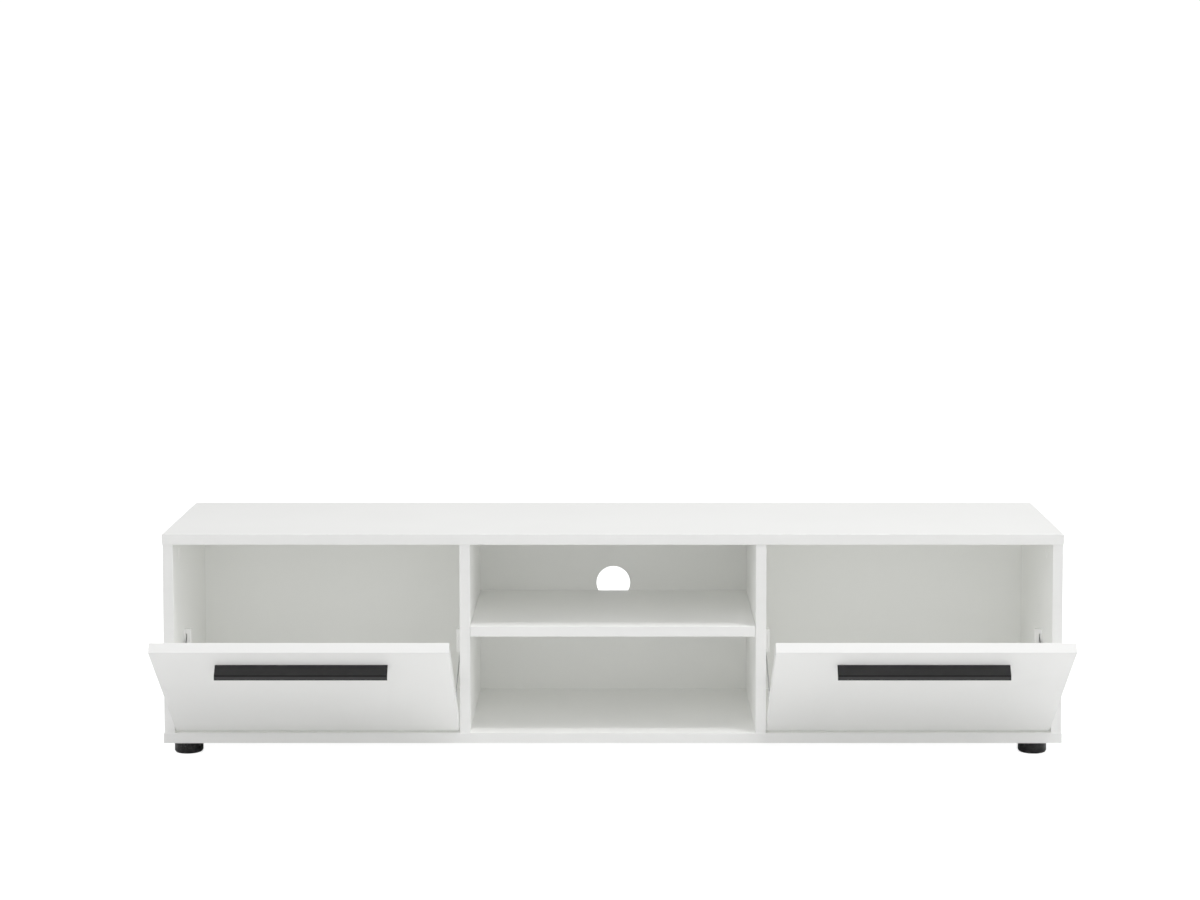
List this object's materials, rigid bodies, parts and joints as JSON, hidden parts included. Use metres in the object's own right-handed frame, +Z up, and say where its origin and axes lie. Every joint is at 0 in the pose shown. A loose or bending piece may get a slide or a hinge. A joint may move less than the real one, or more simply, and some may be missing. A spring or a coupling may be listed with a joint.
{
  "type": "tv stand with doors",
  "caption": "Low white TV stand with two bottom-hinged drop-down flaps on stay arms, black channel handles, an open shelved centre bay with a cable hole, and round black feet.",
  "frame": {"origin": "on the floor, at the middle of the box around the stand with both flaps fully open", "axes": "+X to the right along the width, -Y out of the front, +Z up"},
  "size_m": [1.4, 0.541, 0.35],
  "materials": {
    "white_board": "satin white melamine on particle board",
    "white_edge_band": "satin",
    "white_backboard": "matt white lacquered fibreboard",
    "black_handle": "fine matt powder coat",
    "black_foot": "satin moulded",
    "white_plastic": "satin moulded",
    "grey_steel": "satin grey coated strip",
    "zinc_steel": "bright zinc plated",
    "beech": "raw, fluted"
  },
  "bodies": {
    "root": {"back_panel": "white_backboard", "back_panel_screws": "zinc_steel", "bottom_panel": "white_board", "bottom_panel_edge_bands": "white_edge_band", "bottom_screws": "zinc_steel", "cam_bolts": "zinc_steel", "cam_cover_caps": "white_plastic", "cam_locks": "zinc_steel", "centre_shelf": "white_board", "centre_shelf_edge_band": "white_edge_band", "foot_screws": "zinc_steel", "front_left_foot": "black_foot", "front_right_foot": "black_foot", "left_divider": "white_board", "left_flap_inner_stay_guide": "white_plastic", "left_flap_outer_stay_guide": "white_plastic", "left_flap_pivot_bushes": "white_plastic", "left_side_panel": "white_board", "rear_left_foot": "black_foot", "rear_right_foot": "black_foot", "right_divider": "white_board", "right_flap_inner_stay_guide": "white_plastic", "right_flap_outer_stay_guide": "white_plastic", "right_flap_pivot_bushes": "white_plastic", "right_side_panel": "white_board", "shelf_pins": "zinc_steel", "stay_guide_screws": "zinc_steel", "top_panel": "white_board", "top_panel_edge_bands": "white_edge_band", "upright_edge_bands": "white_edge_band", "wood_dowels": "beech"},
    "left_flap": {"left_flap_edge_bands": "white_edge_band", "left_flap_handle": "black_handle", "left_flap_handle_screws": "zinc_steel", "left_flap_lug_screws": "zinc_steel", "left_flap_panel": "white_board", "left_flap_pivot_pins": "zinc_steel", "left_flap_stay_lugs": "zinc_steel", "left_flap_stay_rivets": "zinc_steel"},
    "right_flap": {"right_flap_edge_bands": "white_edge_band", "right_flap_handle": "black_handle", "right_flap_handle_screws": "zinc_steel", "right_flap_lug_screws": "zinc_steel", "right_flap_panel": "white_board", "right_flap_pivot_pins": "zinc_steel", "right_flap_stay_lugs": "zinc_steel", "right_flap_stay_rivets": "zinc_steel"},
    "left_flap_inner_arm": {"left_flap_inner_stay_arm": "grey_steel"},
    "left_flap_outer_arm": {"left_flap_outer_stay_arm": "grey_steel"},
    "right_flap_inner_arm": {"right_flap_inner_stay_arm": "grey_steel"},
    "right_flap_outer_arm": {"right_flap_outer_stay_arm": "grey_steel"}
  },
  "joints": [
    {"name": "left_flap_hinge", "type": "hinge", "parent": "root", "child": "left_flap", "pos_m": [-0.46067, -0.04138, 0.05], "axis": [1, 0, 0], "range_deg": [-53, 0]},
    {"name": "left_flap_outer_arm_pivot", "type": "hinge", "parent": "left_flap", "child": "left_flap_outer_arm", "pos_m": [-0.6795, -0.08585, 0.1073], "axis": [1, 0, 0], "range_deg": [0, 54.2]},
    {"name": "left_flap_inner_arm_pivot", "type": "hinge", "parent": "left_flap", "child": "left_flap_inner_arm", "pos_m": [-0.24183, -0.08585, 0.1073], "axis": [1, 0, 0], "range_deg": [0, 54.2]},
    {"name": "right_flap_hinge", "type": "hinge", "parent": "root", "child": "right_flap", "pos_m": [0.46067, -0.04138, 0.05], "axis": [1, 0, 0], "range_deg": [-53, 0]},
    {"name": "right_flap_outer_arm_pivot", "type": "hinge", "parent": "right_flap", "child": "right_flap_outer_arm", "pos_m": [0.6795, -0.08585, 0.1073], "axis": [1, 0, 0], "range_deg": [0, 54.2]},
    {"name": "right_flap_inner_arm_pivot", "type": "hinge", "parent": "right_flap", "child": "right_flap_inner_arm", "pos_m": [0.24183, -0.08585, 0.1073], "axis": [1, 0, 0], "range_deg": [0, 54.2]}
  ],
  "couplings": [
    {"joint": "left_flap_outer_arm_pivot", "follows": "left_flap_hinge", "ratio": -1.02},
    {"joint": "left_flap_inner_arm_pivot", "follows": "left_flap_hinge", "ratio": -1.02},
    {"joint": "right_flap_outer_arm_pivot", "follows": "right_flap_hinge", "ratio": -1.02},
    {"joint": "right_flap_inner_arm_pivot", "follows": "right_flap_hinge", "ratio": -1.02}
  ]
}
